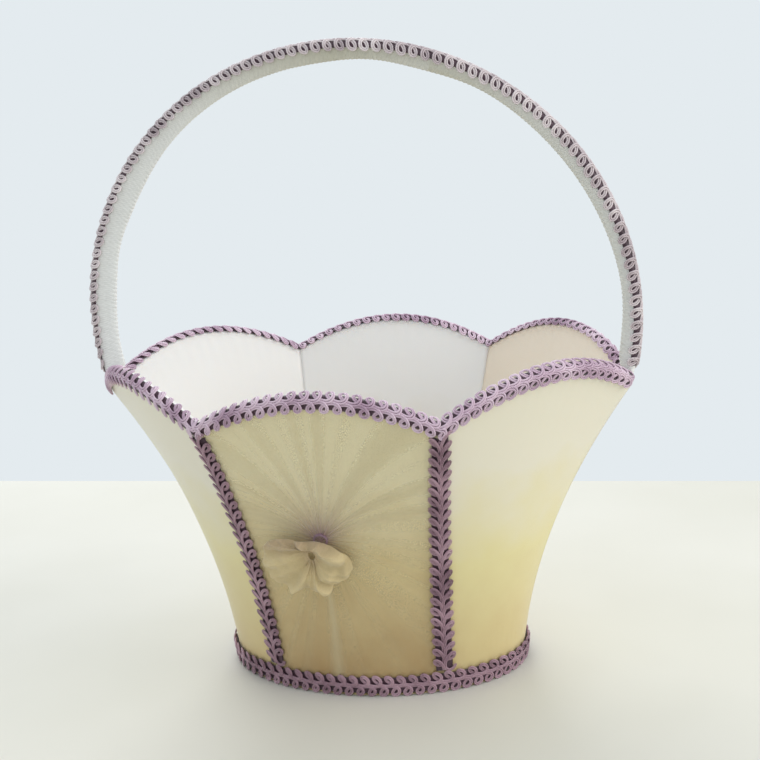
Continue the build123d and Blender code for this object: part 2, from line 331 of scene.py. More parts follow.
def hardboard():
    # pressed fibre board: brown, dull, flecked with short fibres
    material, tree, shader = newMaterial("pressedHardboard")
    place = addNode(tree, "ShaderNodeTexCoord")
    fibres = addNode(
        tree, "ShaderNodeTexNoise", {"Scale": 700.0, "Detail": 6.0}, Vector=place.outputs["Object"]
    )
    stops = [(0.3, "#6e5438"), (0.7, "#9a7c55")]
    tone = addNode(tree, "ShaderNodeValToRGB", {"stops": stops}, Fac=fibres.outputs["Fac"])
    tree.links.new(tone.outputs["Color"], shader.inputs["Base Color"])
    bump = addNode(
        tree, "ShaderNodeBump", {"Strength": 0.4, "Distance": 0.1 * mm}, Height=fibres.outputs["Fac"]
    )
    tree.links.new(bump.outputs[0], shader.inputs["Normal"])
    shader.inputs["Roughness"].default_value = 0.85
    return material


rayon = dict(wrapSpacing=0.28 * mm, roughness=0.45)


def rayonCord(name, low, mid, high):
    # rayon wrapped round a cotton core: silky threads that run slantwise, each painted with a thin
    # highlight and shade in its colour
    material, tree, shader = newMaterial(name)
    place = addNode(tree, "ShaderNodeTexCoord")
    wrap = addNode(
        tree,
        "ShaderNodeMapping",
        {"Scale": (1 / rayon["wrapSpacing"],) * 3, "Rotation": (0, 0, math.radians(35))},
        Vector=place.outputs["UV"],
    )
    threads = addNode(
        tree,
        "ShaderNodeTexWave",
        {"Scale": 0.3, "Distortion": 1.2, "Detail": 2.0},
        Vector=wrap.outputs[0],
    )
    cloud = addNode(
        tree, "ShaderNodeTexNoise", {"Scale": 60.0, "Detail": 4.0}, Vector=place.outputs["Object"]
    )
    mixed = addNode(
        tree,
        "ShaderNodeMath",
        {"operation": "MULTIPLY_ADD", 1: 0.4},
        i0=threads.outputs["Fac"],
        i2=cloud.outputs["Fac"],
    )
    stops = [(0.35, low), (0.65, mid), (0.95, high)]
    tone = addNode(tree, "ShaderNodeValToRGB", {"stops": stops}, Fac=mixed.outputs[0])
    tree.links.new(tone.outputs["Color"], shader.inputs["Base Color"])
    bump = addNode(
        tree, "ShaderNodeBump", {"Strength": 0.5, "Distance": 0.08 * mm}, Height=threads.outputs["Fac"]
    )
    tree.links.new(bump.outputs[0], shader.inputs["Normal"])
    shader.inputs["Roughness"].default_value = rayon["roughness"]
    shader.inputs["Sheen Weight"].default_value = 0.35
    shader.inputs["Sheen Roughness"].default_value = 0.35
    shader.inputs["Specular IOR Level"].default_value = 0.5
    return material


tulle = dict(mesh=0.9 * mm, colour="#ddd0aa", crumpled="#d6c294", ruched="#f7f7f5")


def sheerTulle(name, colour, alphaLow, alphaHigh, tintAndShadeColour="#86606f"):
    # fine silk tulle: a net so open that one layer is half clear, and folds that double it turn whiter
    material, tree, shader = newMaterial(name)
    place = addNode(tree, "ShaderNodeTexCoord")
    fold = addNode(tree, "ShaderNodeAttribute", {"attribute_name": "fold"})
    dye = addNode(tree, "ShaderNodeAttribute", {"attribute_name": "dye"})
    net = addNode(
        tree, "ShaderNodeMapping", {"Scale": (1 / tulle["mesh"],) * 3}, Vector=place.outputs["UV"]
    )
    cells = addNode(
        tree,
        "ShaderNodeTexVoronoi",
        {"Scale": 1.0, "feature": "DISTANCE_TO_EDGE"},
        Vector=net.outputs[0],
    )
    threads = addNode(
        tree,
        "ShaderNodeMapRange",
        {"From Min": 0.0, "From Max": 0.25, "To Min": 0.07, "To Max": 0.0},
        Value=cells.outputs["Distance"],
    )
    alpha = addNode(
        tree,
        "ShaderNodeMapRange",
        {"From Min": 0.0, "From Max": 1.0, "To Min": alphaLow, "To Max": alphaHigh},
        Value=fold.outputs["Fac"],
    )
    total = addNode(
        tree,
        "ShaderNodeMath",
        {"operation": "ADD", "use_clamp": True},
        i0=alpha.outputs[0],
        i1=threads.outputs[0],
    )
    tree.links.new(total.outputs[0], shader.inputs["Alpha"])
    # the second colour mixed in by the attribute is partly a tint and partly painted shade in hollows
    tint = addNode(
        tree,
        "ShaderNodeMix",
        {"data_type": "RGBA", 6: toLinear(colour), 7: toLinear(tintAndShadeColour)},
        i0=dye.outputs["Fac"],
    )
    tree.links.new(tint.outputs[2], shader.inputs["Base Color"])
    shader.inputs["Roughness"].default_value = 0.7
    shader.inputs["Sheen Weight"].default_value = 0.3
    shader.inputs["Subsurface Weight"].default_value = 0.25
    shader.inputs["Subsurface Radius"].default_value = (0.004, 0.004, 0.004)
    return material


coverSatin = satinCloth("ivorySatinWoven", "#d2bb88", "#e4d8a2", "#e8e1cd", 0.15)
# the front cover's copy is darker: painted shade, with the ecru net's tint
frontSatin = satinCloth("ivorySatinUnderNet", "#ab8347", "#dac692", "#efe6c4", 0.15)
liningSatin = satinCloth("liningSatinWoven", "#d8c6ac", "#e4dccf", "#ece9e6", 0.2)
# a warmer tone for the back right side's lining
warmLining = satinCloth("liningSatinYellowed", "#d6c4a9", "#e2d4bd", "#ecdecb", 0.2)
# one lavender gimp in three tones, partly its own variation and partly painted light: paler on the rim and
# the handle, darker as painted shade on the ribs and base
rimRayon = rayonCord("lavenderRayonGimp", "#917089", "#cbaac0", "#f0dce8")
ribRayon = rayonCord("dustyPlumRayonGimp", "#5f3f4d", "#967281", "#c8a5b2")
hoopRayon = rayonCord("fadedRayonGimp", "#8a777f", "#ccbcc0", "#f4ebeb")
# the braid's ground of threads, made near black so that it paints shade in the gaps between the cords
groundAndGapShade = rayonCord("plumGroundThreads", "#33202a", "#452d39", "#573c4a")
threadCotton = rayonCord("mauveSewingThread", "#6d5162", "#8f7182", "#ac90a0")
overlayTulle = sheerTulle("gatheredSilkTulle", tulle["colour"], 0.18, 0.62)
rosetteTulle = sheerTulle("crumpledSilkTulle", tulle["crumpled"], 0.6, 0.97)
# the sleeve's second colour is the grey beige of its painted shade
sleeveChiffon = sheerTulle("ruchedChiffon", tulle["ruched"], 0.55, 0.95, "#c4bfa6")
wireSteel = steelWire()
boardFibre = hardboard()
print("materials made")


# the wires and the board keep the shape of their solids
for name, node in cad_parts.items():
    if name.endswith("_wire"):
        for slot in node.material_slots:
            slot.material = wireSteel
    if name == "base_board":
        for slot in node.material_slots:
            slot.material = boardFibre


cloth = dict(
    thickness=0.35 * mm,
    weaveHeight=0.145,  # length that the weave is laid out over, rib foot to rim
    acrossCount=64,
    upCount=72,
    wrapRows=7,  # rows that turn over the rim wire
    tensionDepth=0.35 * mm,
    puckerDepth=0.22 * mm,
    # sides whose satin has another tone than the rest: the front cover's darker tone is painted shade with
    # the net's tint, the back right lining's is warmer
    satins={("front_side", 1): frontSatin, ("back_right_side", -1): warmLining},
    underNet=0.3,  # the net over the front side presses its satin flat
    puckerSpacing=6.5 * mm,  # between the stitches that pull the cloth over the wire
    coverSeed=3.1,
    liningSeed=13.7,
)


def sidePanel(side, seed, outside):
    # outside is +1 for a cover and -1 for a lining
    share = np.linspace(0, 1, cloth["acrossCount"])
    climb = np.linspace(0, 1, cloth["upCount"])
    cut = Slice(side, share)
    reach = outside * basket["coverOut"]
    widths = np.linalg.norm(np.diff(cut.nearTop(0.0, reach), axis=0), axis=1)
    along = np.concatenate([[0], np.cumsum(widths)])
    rows, uvs = [], []
    for c in climb:
        mid = cut.panel(np.full(len(share), c), reach)
        tension = ripples(mid, 38 * mm, seed) * cloth["tensionDepth"]
        edge = np.exp(-(1 - c) / 0.05) + np.exp(-c / 0.05)
        pucker = np.sin(along / cloth["puckerSpacing"] * 2 * math.pi + seed) * edge * cloth["puckerDepth"]
        keep = np.sin(math.pi * share) ** 0.3  # the ribs hold the cloth still
        if side == "front_side" and outside > 0:
            keep = keep * cloth["underNet"]
        sag = (tension + pucker) * keep * (0.3 + 0.7 * math.sin(math.pi * min(max(c, 0.02), 0.98)))
        rows.append(cut.panel(np.full(len(share), c), reach + outside * sag))
        uvs.append(np.stack([along, np.full(len(share), c * cloth["weaveHeight"])], 1))
    if outside > 0:
        # the cover turns over the rim wire and is caught down inside
        for angle in np.linspace(0, math.pi * 0.8, cloth["wrapRows"])[1:]:
            rows.append(
                cut.nearTop(basket["coverOut"] * math.sin(angle), basket["coverOut"] * math.cos(angle))
            )
            turned = cloth["weaveHeight"] + basket["coverOut"] * angle
            uvs.append(np.stack([along, np.full(len(share), turned)], 1))
    else:
        # the lining curls over the wire's top, under the gimp
        reachIn = basket["coverOut"] + 0.3 * mm
        for angle in np.linspace(0, math.pi * 0.45, cloth["wrapRows"])[1:]:
            rows.append(cut.nearTop(reachIn * math.sin(angle), -reachIn * math.cos(angle)))
            turned = cloth["weaveHeight"] + reachIn * angle
            uvs.append(np.stack([along, np.full(len(share), turned)], 1))
    points, uv = np.concatenate(rows), np.concatenate(uvs)
    faces = gridFaces(len(rows), len(share))
    if outside < 0:
        faces = [f[::-1] for f in faces]
    name = side + ("_satin_cover" if outside > 0 else "_satin_lining")
    piece = addMesh(name, points, faces, uv)
    thicken(piece, cloth["thickness"], 0.0)
    kind = "_cover" if outside > 0 else "_lining"
    finishPiece(
        piece,
        cloth["satins"].get((side, outside), coverSatin if outside > 0 else liningSatin),
        [side + kind],
    )
    middleLine = np.array([row[len(share) // 2] for row in rows])
    return piece


for number, side in enumerate(sides):
    sidePanel(side, cloth["coverSeed"] + number, 1)
    sidePanel(side, cloth["liningSeed"] + number, -1)
print("covers and linings stretched")


def ovalSheet(name, node, material, swell):
    low, high = (np.array(c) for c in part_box(node))
    half = (high - low) / 2
    rings, spokes = 22, 96
    points, uv = [], []
    for i in range(rings + 1):
        r = i / rings
        for j in range(spokes):
            a = 2 * math.pi * j / spokes
            x, y = half[0] * r * math.cos(a), half[1] * r * math.sin(a)
            lift = swell * (1 - r**4) * (0.6 + 0.4 * noise.noise(Vector((x, y, 0)) / (22 * mm)))
            points.append((x, y, (low[2] + high[2]) / 2 + lift))
            uv.append((x, y))
    faces = gridFaces(rings + 1, spokes, closeColumns=True)
    piece = addMesh(name, points, faces, uv)
    work = bmesh.new()
    work.from_mesh(piece.data)
    bmesh.ops.remove_doubles(work, verts=work.verts, dist=1e-6)
    work.to_mesh(piece.data)
    work.free()
    thicken(piece, cloth["thickness"], 0.0)
    finishPiece(piece, material, [node])
    return piece


ovalSheet("floor_satin_lining", "floor_lining", liningSatin, 0.5 * mm)
ovalSheet("bottom_satin_cloth", "bottom_cloth", coverSatin, 0.0)
print("floor cloths laid")


gimp = dict(
    pitch=5.5 * mm,  # from one scroll to the next
    rowCentre=2.45 * mm,
    loopReach=2.25 * mm,
    loopSwing=2.65 * mm,
    lean=0.40,  # how far the scrolls slant along the braid
    cordRadius=0.42 * mm,
    pairSpacing=0.39 * mm,  # each scroll is two cords side by side
    rise=0.45 * mm,
    steps=22,
    around=7,
    # the ground's dark threads paint shade in the gaps between the scrolls
    groundHalf=3.9 * mm,  # dark threads under the scrolls
    groundHeight=0.35 * mm,
    groundUnder=0.05 * mm,
    endMargin=3.2 * mm,
)


def sweepTubes(name, paths, radius, around, ribbon=None):
    # paths are arrays of points; each becomes a round closed-ended tube with UVs in metres
    allPoints, allFaces, allUv = [], [], []
    start = 0
    for path in paths:
        n = len(path)
        tangent = unit(np.gradient(path, axis=0))
        normal = np.zeros_like(path)
        up = np.array([0.0, 0.0, 1.0]) if abs(tangent[0][2]) < 0.9 else np.array([1.0, 0.0, 0.0])
        normal[0] = unit(np.cross(tangent[0], up))
        for i in range(1, n):
            carried = normal[i - 1] - tangent[i] * np.dot(normal[i - 1], tangent[i])
            normal[i] = carried / max(np.linalg.norm(carried), 1e-12)
        side = np.cross(tangent, normal)
        angles = np.linspace(0, 2 * math.pi, around, endpoint=False)
        cosines, sines = np.cos(angles)[None, :, None], np.sin(angles)[None, :, None]
        ring = normal[:, None, :] * cosines + side[:, None, :] * sines
        points = path[:, None, :] + ring * radius
        along = np.concatenate([[0], np.cumsum(np.linalg.norm(np.diff(path, axis=0), axis=1))])
        uv = np.stack(np.broadcast_arrays(along[:, None], (angles * radius)[None, :]), 2)
        allPoints.append(points.reshape(-1, 3))
        allUv.append(uv.reshape(-1, 2))
        allFaces += [tuple(start + v for v in f) for f in gridFaces(n, around, closeColumns=True)]
        allFaces.append(tuple(start + k for k in reversed(range(around))))
        allFaces.append(tuple(start + (n - 1) * around + k for k in range(around)))
        start += n * around
    cordFaces = len(allFaces)
    if ribbon is not None:
        n, m = ribbon.shape[:2]
        allPoints.append(ribbon.reshape(-1, 3))
        alongUv = np.arange(n)[:, None] * mm
        acrossUv = np.arange(m)[None, :] * mm
        allUv.append(np.stack(np.broadcast_arrays(alongUv, acrossUv), 2).reshape(-1, 2))
        allFaces += [tuple(start + v for v in f) for f in gridFaces(n, m, closeColumns=True)]
        allFaces.append(tuple(start + k for k in reversed(range(m))))
        allFaces.append(tuple(start + (n - 1) * m + k for k in range(m)))
    piece = addMesh(name, np.concatenate(allPoints), allFaces, np.concatenate(allUv))
    if ribbon is not None:
        index = np.zeros(len(piece.data.polygons), np.int32)
        index[cordFaces:] = 1
        piece.data.polygons.foreach_set("material_index", index)
    return piece


def braid(name, node, length, mapPoint, lean, material, closed=False):
    # scrolls in two rows, whose inner turns cross along the middle of the braid
    margin = 0.0 if closed else gimp["endMargin"]
    count = max(2, round((length - 2 * margin) / gimp["pitch"]))
    pitch = (length - 2 * margin) / count
    u = np.linspace(0, count, count * gimp["steps"] + 1)
    paths = []
    for row in (-1, 1):
        phase = 2 * math.pi * (u + (0.5 if row > 0 else 0.0))
        wobble = 1 + 0.05 * np.sin(u * 1.7 + row) + 0.04 * np.sin(u * 0.61 + 2 * row)
        if closed:
            wobble = 1 + 0.05 * np.sin(2 * math.pi * u / count * 13 + row)
        across = gimp["rowCentre"] - gimp["loopReach"] * np.cos(phase) * wobble
        s = margin + u * pitch + gimp["loopSwing"] * np.sin(phase) * wobble + lean * gimp["lean"] * across
        h = gimp["cordRadius"] * 1.5 + gimp["groundHeight"] + gimp["rise"] * np.sin(phase) + 0.12 * mm * row
        flat = np.stack([s, row * across], 1)
        heading = unit(np.gradient(flat, axis=0))
        sideways = np.stack([-heading[:, 1], heading[:, 0]], 1)
        for strand in (-1, 1):
            q = flat + sideways * strand * gimp["pairSpacing"]
            paths.append(mapPoint(q[:, 0], q[:, 1], h + strand * 0.10 * mm))
    # a dark ground strip under the cords, which paints shade in the gaps between them
    rows = np.linspace(0.8 * margin, length - 0.8 * margin, count * 5 + 1)
    edge = gimp["groundHalf"]
    ring = [(w, gimp["groundHeight"]) for w in np.linspace(-edge, edge, 9)]
    ring += [(w, gimp["groundUnder"]) for w in np.linspace(edge, -edge, 9)]
    ribbon = np.stack(
        [mapPoint(rows, np.full(len(rows), w), np.full(len(rows), h)) for w, h in ring], 1
    )
    piece = sweepTubes(name, paths, gimp["cordRadius"], gimp["around"], ribbon)
    finishPiece(piece, material, [node])
    piece.data.materials.append(groundAndGapShade)
    return piece


def runTable(names, curve, count=120):
    # lengths along a run of sides, so that a distance gives a side and a share of it
    shares = np.linspace(0, 1, count)
    tables, total = [], 0.0
    for side in names:
        line = curve(Slice(side, shares))
        steps = np.concatenate([[0], np.cumsum(np.linalg.norm(np.diff(line, axis=0), axis=1))])
        tables.append((side, total, steps, shares))
        total += steps[-1]
    return tables, total


def alongRun(tables, total, s, place, closed=False):
    # place(slice, index) gives points for the entries of s that fall on one side
    points = np.zeros((len(s), 3))
    s = s % total if closed else np.clip(s, 0, total)
    for side, start, steps, shares in tables:
        inside = (s >= start) & (s <= start + steps[-1])
        if inside.any():
            cut = Slice(side, np.interp(s[inside] - start, steps, shares))
            points[inside] = place(cut, inside)
    return points


rimTrim = dict(
    bendRadius=3.1 * mm,  # inside of the gimp, round the wire and its cloth
    bendCentre=0.6 * mm,
    braidMiddle=0.6 * mm,
    frontTurn=math.radians(39),  # where the braid's middle lies round the wire
    backTurn=math.radians(92),
)


def rimBraid(name, node, names, turn, lean):
    tables, total = runTable(names, lambda cut: cut.nearTop(rimTrim["bendCentre"], basket["gimpOut"]))
    inner, centre = rimTrim["bendRadius"], rimTrim["bendCentre"]
    middle = inner + rimTrim["braidMiddle"]

    def mapPoint(s, w, h):
        # flat on the cover, round over the wire, and down inside against the lining
        theta = turn + w / middle
        below = np.minimum(theta, 0) * middle
        inside = np.maximum(theta - math.pi, 0) * middle
        bent = np.clip(theta, 0, math.pi)
        alongT = centre + (inner + h) * np.sin(bent) + below - inside
        outN = (inner + h) * np.cos(bent)
        return alongRun(tables, total, s, lambda cut, k: cut.nearTop(alongT[k], outN[k]))

    return braid(name, node, total, mapPoint, lean, rimRayon)


rimBraid(
    "front_rim_braid",
    "front_rim_gimp",
    ("front_left_side", "front_side", "front_right_side"),
    rimTrim["frontTurn"],
    -1,
)
rimBraid(
    "back_rim_braid",
    "back_rim_gimp",
    ("back_right_side", "back_side", "back_left_side"),
    rimTrim["backTurn"],
    -1,
)


def baseBraid(name, node):
    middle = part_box("base_gimp")[1][2] / 2
    tables, total = runTable(list(sides), lambda cut: cut.nearFoot(middle, basket["gimpOut"]))

    def mapPoint(s, w, h):
        def place(cut, k):
            return cut.nearFoot(middle + w[k], basket["gimpOut"] + h[k])

        return alongRun(tables, total, s, place, closed=True)

    return braid(name, node, total, mapPoint, -1, ribRayon, closed=True)


baseBraid("base_braid", "base_gimp")


ribTrim = dict(
    underBase=2.5 * mm,  # how far the rib's gimp runs in under the base gimp's top
    belowRim=1.0 * mm,
    near=0.04,  # share of a side over which its width is measured beside the rib
)


def ribBraid(name, node, before, after):
    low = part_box("base_gimp")[1][2] - ribTrim["underBase"]
    high = cornerZ - ribTrim["belowRim"]
    climbs = np.linspace(0, 1, 200)
    line = Slice(after, np.zeros(200)).panel(climbs, basket["gimpOut"])
    steps = np.concatenate([[0], np.cumsum(np.linalg.norm(np.diff(line, axis=0), axis=1))])
    start, end = np.interp([low, high], line[:, 2], steps)
    near = ribTrim["near"]
    width = {}
    for side, share in ((after, near), (before, 1 - near)):
        edge = Slice(side, np.full(200, share)).panel(climbs, basket["gimpOut"])
        width[side] = np.linalg.norm(edge - line, axis=1) / near

    def mapPoint(s, w, h):
        climb = np.interp(start + s, steps, climbs)
        points = np.zeros((len(s), 3))
        for side, mask in ((after, w >= 0), (before, w < 0)):
            if mask.any():
                share = np.abs(w[mask]) / np.interp(climb[mask], climbs, width[side])
                cut = Slice(side, share if side == after else 1 - share)
                points[mask] = cut.panel(climb[mask], basket["gimpOut"] + h[mask])
        return points

    return braid(name, node, end - start, mapPoint, 1, ribRayon)


ribs = dict(
    back_right=("back_right_side", "back_side"),
    back_left=("back_side", "back_left_side"),
    front_left=("front_left_side", "front_side"),
    front_right=("front_side", "front_right_side"),
)
for corner, (before, after) in ribs.items():
    ribBraid(corner + "_rib_braid", corner + "_rib_gimp", before, after)
print("rim, base and rib gimp braided")


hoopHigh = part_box("handle_wire")[1]
hoop = dict(
    wireRadius=1.75 * mm,
    widestRise=32 * mm,
    edgeRadius=2.4 * mm,  # outside of the cloth round the wire
    footPinch=0.45,  # the gimp is drawn in at the left foot
    sleeveStart=4 * mm,  # above the rim's ends
    sleeveRows=1300,
    sleeveAround=36,
    finDepth=9.4 * mm,  # at the left leg
    finTop=5.8 * mm,
    finRight=5.2 * mm,
    finBelly=1.9 * mm,
    foldSpacing=2.1 * mm,
    foldDepth=0.11 * mm,
    edgeWave=0.55 * mm,
    # the next two place the sleeve's painted shade along the hoop
    shadePlaces=(0, 0.3, 0.5, 0.7, 1),  # shares of the hoop, from the right foot
    shadeAmounts=(0.05, 0.2, 0.75, 0.15, 0.0),
)
hoopHalfWidth = hoopHigh[0] - hoop["wireRadius"]
hoopCentre = endZ + hoop["widestRise"]
hoopHalfHeight = hoopHigh[2] - hoop["wireRadius"] - hoopCentre


def hoopTable(footHeight, count=400):
    # points of the wire's centre line from the right foot over to the left, with outward normals
    first = math.asin((footHeight - hoopCentre) / hoopHalfHeight)
    angle = np.linspace(first, math.pi - first, count)
    line = np.stack(
        [hoopHalfWidth * np.cos(angle), 0 * angle, hoopCentre + hoopHalfHeight * np.sin(angle)], 1
    )
    normal = unit(
        np.stack([hoopHalfHeight * np.cos(angle), 0 * angle, hoopHalfWidth * np.sin(angle)], 1)
    )
    steps = np.concatenate([[0], np.cumsum(np.linalg.norm(np.diff(line, axis=0), axis=1))])
    return line, normal, steps


def handleBraid(name, node):
    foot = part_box("handle_gimp")[0][2]
    line, normal, steps = hoopTable(foot)
    quarter = hoop["edgeRadius"] * math.pi / 2

    def mapPoint(s, w, h):
        centre = np.stack([np.interp(s, steps, line[:, k]) for k in range(3)], 1)
        outwards = unit(np.stack([np.interp(s, steps, normal[:, k]) for k in range(3)], 1))
        across = np.array([0.0, 1.0, 0.0])
        w = w * (1 - hoop["footPinch"] * smooth(s, steps[-1] - 26 * mm, steps[-1] - 3 * mm))
        turn = np.clip(w / hoop["edgeRadius"], -math.pi / 2, math.pi / 2)
        extra = np.sign(w) * np.maximum(np.abs(w) - quarter, 0)
        reach = hoop["edgeRadius"] + h
        point = centre + outwards * (reach * np.cos(turn) - np.abs(extra))[:, None]
        return point + across * (reach * np.sin(turn))[:, None]

    return braid(name, node, steps[-1], mapPoint, -1, hoopRayon)


handleBraid("handle_braid", "handle_gimp")


def handleSleeve(name, node):
    line, normal, steps = hoopTable(endZ + hoop["sleeveStart"], hoop["sleeveRows"])
    total = steps[-1]
    around = hoop["sleeveAround"]
    a = np.linspace(0, 2 * math.pi, around, endpoint=False)[None, :]
    s = steps[:, None]
    foot = 1 - smooth(np.minimum(s, total - s), 0, 9 * mm)
    # ruching: uneven folds that run across the wire and slant a little
    drift = 1.7 * np.sin(s / 0.019) + 1.1 * np.sin(s / 0.0083 + 1.0)
    ripple = np.sin(s / hoop["foldSpacing"] * 2 * math.pi + drift)
    slow = np.sin(s / 0.0126 + 1.3 * np.sin(s / 0.031))
    fin = np.interp(
        s / total,
        [0, 0.35, 0.55, 0.8, 1],
        [hoop["finRight"]] * 2 + [hoop["finTop"]] + [hoop["finDepth"]] * 2,
    )
    depth = (fin + hoop["edgeWave"] * (0.8 * slow + 0.2 * ripple)) * (1 - 0.3 * foot)
    back = np.maximum(-np.cos(a), 0)
    inward = depth * back
    face = np.sign(np.sin(a) + 1e-9)
    # round over the wire, then a soft flattened bag that closes at its inner edge
    overWire = hoop["edgeRadius"] * np.maximum(np.cos(a), 0)
    belly = hoop["edgeRadius"] + (hoop["finBelly"] - hoop["edgeRadius"]) * smooth(back, 0.0, 0.5)
    half = belly * np.abs(np.sin(a)) ** 0.9
    slant = np.sin((s + 0.45 * face * inward) / hoop["foldSpacing"] * 2 * math.pi + drift)
    crease = 1 - np.abs(slant) ** 0.7
    puff = hoop["foldDepth"] * (1.6 * crease + slant) * (0.3 + 0.7 * back) * (np.abs(np.sin(a)) > 0.02)
    offset = (overWire - inward)[:, :, None] * normal[:, None, :]
    points = line[:, None, :] + offset
    points[:, :, 1] += face * (half + puff)
    fold = 0.35 + 0.35 * crease + 0.15 * back
    uv = np.stack(np.broadcast_arrays(s, a * hoop["finDepth"] / math.pi), 2)
    flatPoints = points.reshape(-1, 3)
    faces = gridFaces(len(line), around, closeColumns=True)
    # painted shade, a grey beige, over the top and down the right leg's inner edge
    paintedShade = np.interp(s / total, hoop["shadePlaces"], hoop["shadeAmounts"])
    paintedShade = paintedShade + 0.3 * back * (s < 0.4 * total)
    dye = np.clip(paintedShade, 0, 1).ravel()
    piece = addMesh(name, flatPoints, faces, uv.reshape(-1, 2), {"fold": fold.ravel(), "dye": dye})
    thicken(piece, 0.12 * mm, -1.0)
    finishPiece(piece, sleeveChiffon, [node])
    return piece


handleSleeve("handle_chiffon_sleeve", "handle_sleeve")
print("handle covered")


gather = dict(
    share=0.43,
    height=84 * mm,
    spokes=420,
    rings=56,
    pleatCount=21,
    wide=0.105,  # about the side's width and height in metres, so that angles look true
    tall=0.150,
    depth=0.65 * mm,
    tent=2.6 * mm,  # how far the knot draws the net off the satin
    net=3.0 * mm,  # the overlay's own surface, from the wires' centres
)
gatherClimb = (gather["height"] - footZ) / (cornerZ + basket["sideRise"] - footZ)


def tulleOverlay(name, node):
    angles = np.linspace(0, 2 * math.pi, gather["spokes"], endpoint=False)
    wide, tall = gather["wide"], gather["tall"]
    rows, uvs, folds, tintsAndShades = [], [], [], []
    gx, gz = gather["share"], gatherClimb
    # where each spoke meets the panel's edge
    dx, dz = np.cos(angles) / wide, np.sin(angles) / tall
    reachX = np.where(dx > 0, (1 - gx) / np.maximum(dx, 1e-9), (0 - gx) / np.minimum(dx, -1e-9))
    reachZ = np.where(dz > 0, (1 - gz) / np.maximum(dz, 1e-9), (0 - gz) / np.minimum(dz, -1e-9))
    reach = np.minimum(reachX, reachZ)
    # pleats crowd together above the knot and are faint beside and below it
    upward = smooth(np.sin(angles), -0.35, 0.75)
    downPleat = np.exp(-(((angles - math.radians(268)) / math.radians(3)) ** 2))
    jitter = 0.9 * np.sin(3 * angles + 0.4) + 0.6 * np.sin(7 * angles + 2.0)
    jitter = jitter + 0.35 * np.sin(13 * angles)
    wave = np.sin(gather["pleatCount"] * angles + jitter * 2.2)
    fine = np.sin(gather["pleatCount"] * 2.7 * angles + 4 * jitter)
    pleat = (0.5 + 0.5 * wave) ** 1.5 * (0.75 + 0.25 * np.sin(2 * angles + 0.5)) + 0.12 * fine
    for i in range(gather["rings"] + 1):
        r = (i / gather["rings"]) ** 1.25
        distance = r * reach
        x, z = gx + dx * distance, gz + dz * distance
        fade = np.exp(-distance / 0.050) * 0.75 + 0.25 * (1 - smooth(r, 0.75, 1.0))
        fade *= 1 - smooth(r, 0.93, 1.0)
        near = smooth(distance, 0.0, 0.010)
        height = gather["depth"] * fade * near * (pleat * (0.22 + 0.78 * upward) + 1.3 * downPleat)
        height += gather["tent"] * np.exp(-((distance / 0.009) ** 1.3))
        cut = Slice("front_side", np.clip(x, 0, 1))
        rows.append(cut.panel(np.clip(z, 0, 1), gather["net"] + height))
        uvs.append(np.stack([x * wide, z * tall], 1))
        doubled = (pleat * (0.25 + 0.75 * upward) + downPleat) * (0.35 + 0.65 * fade)
        folds.append(np.clip(doubled + 0.5 * np.exp(-distance / 0.012), 0, 1))
        # mauve round the knot and above it, lighter on the pleats' ridges: a tint, with painted shade in
        # the gathers
        blush = np.exp(-((distance / 0.011) ** 1.6)) + 0.35 * upward * np.exp(-((distance / 0.03) ** 2))
        tintsAndShades.append(np.clip(blush * (1.0 - 0.3 * pleat), 0, 1))
    points = np.concatenate(rows)
    faces = gridFaces(len(rows), gather["spokes"], closeColumns=True)
    piece = addMesh(
        name,
        points,
        faces,
        np.concatenate(uvs),
        {"fold": np.concatenate(folds), "dye": np.concatenate(tintsAndShades)},
    )
    finishPiece(piece, overlayTulle, [node])
    return piece


tulleOverlay("front_tulle_overlay", "front_tulle")
print("tulle gathered")


rosette = dict(
    spokes=260,
    rings=90,
    outTurn=0.42,  # share of the cloth that goes out before it curls back in
    depth=9.5 * mm,
    dip=0.62,
    mouth=(3.0 * mm, 3.6 * mm),  # the dark opening stands a little right and up
    foldDepth=1.5 * mm,
)
rosLow, rosHigh = (np.array(c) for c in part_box("rosette"))
tieLow, tieHigh = (np.array(c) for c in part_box("rosette_tie"))
knot = (tieLow + tieHigh) / 2
puffCentre = (rosLow + rosHigh) / 2
outNormal = unit(np.array([0.0, -1.0, -0.22]))
upNormal = unit(np.cross(outNormal, np.array([1.0, 0, 0])))


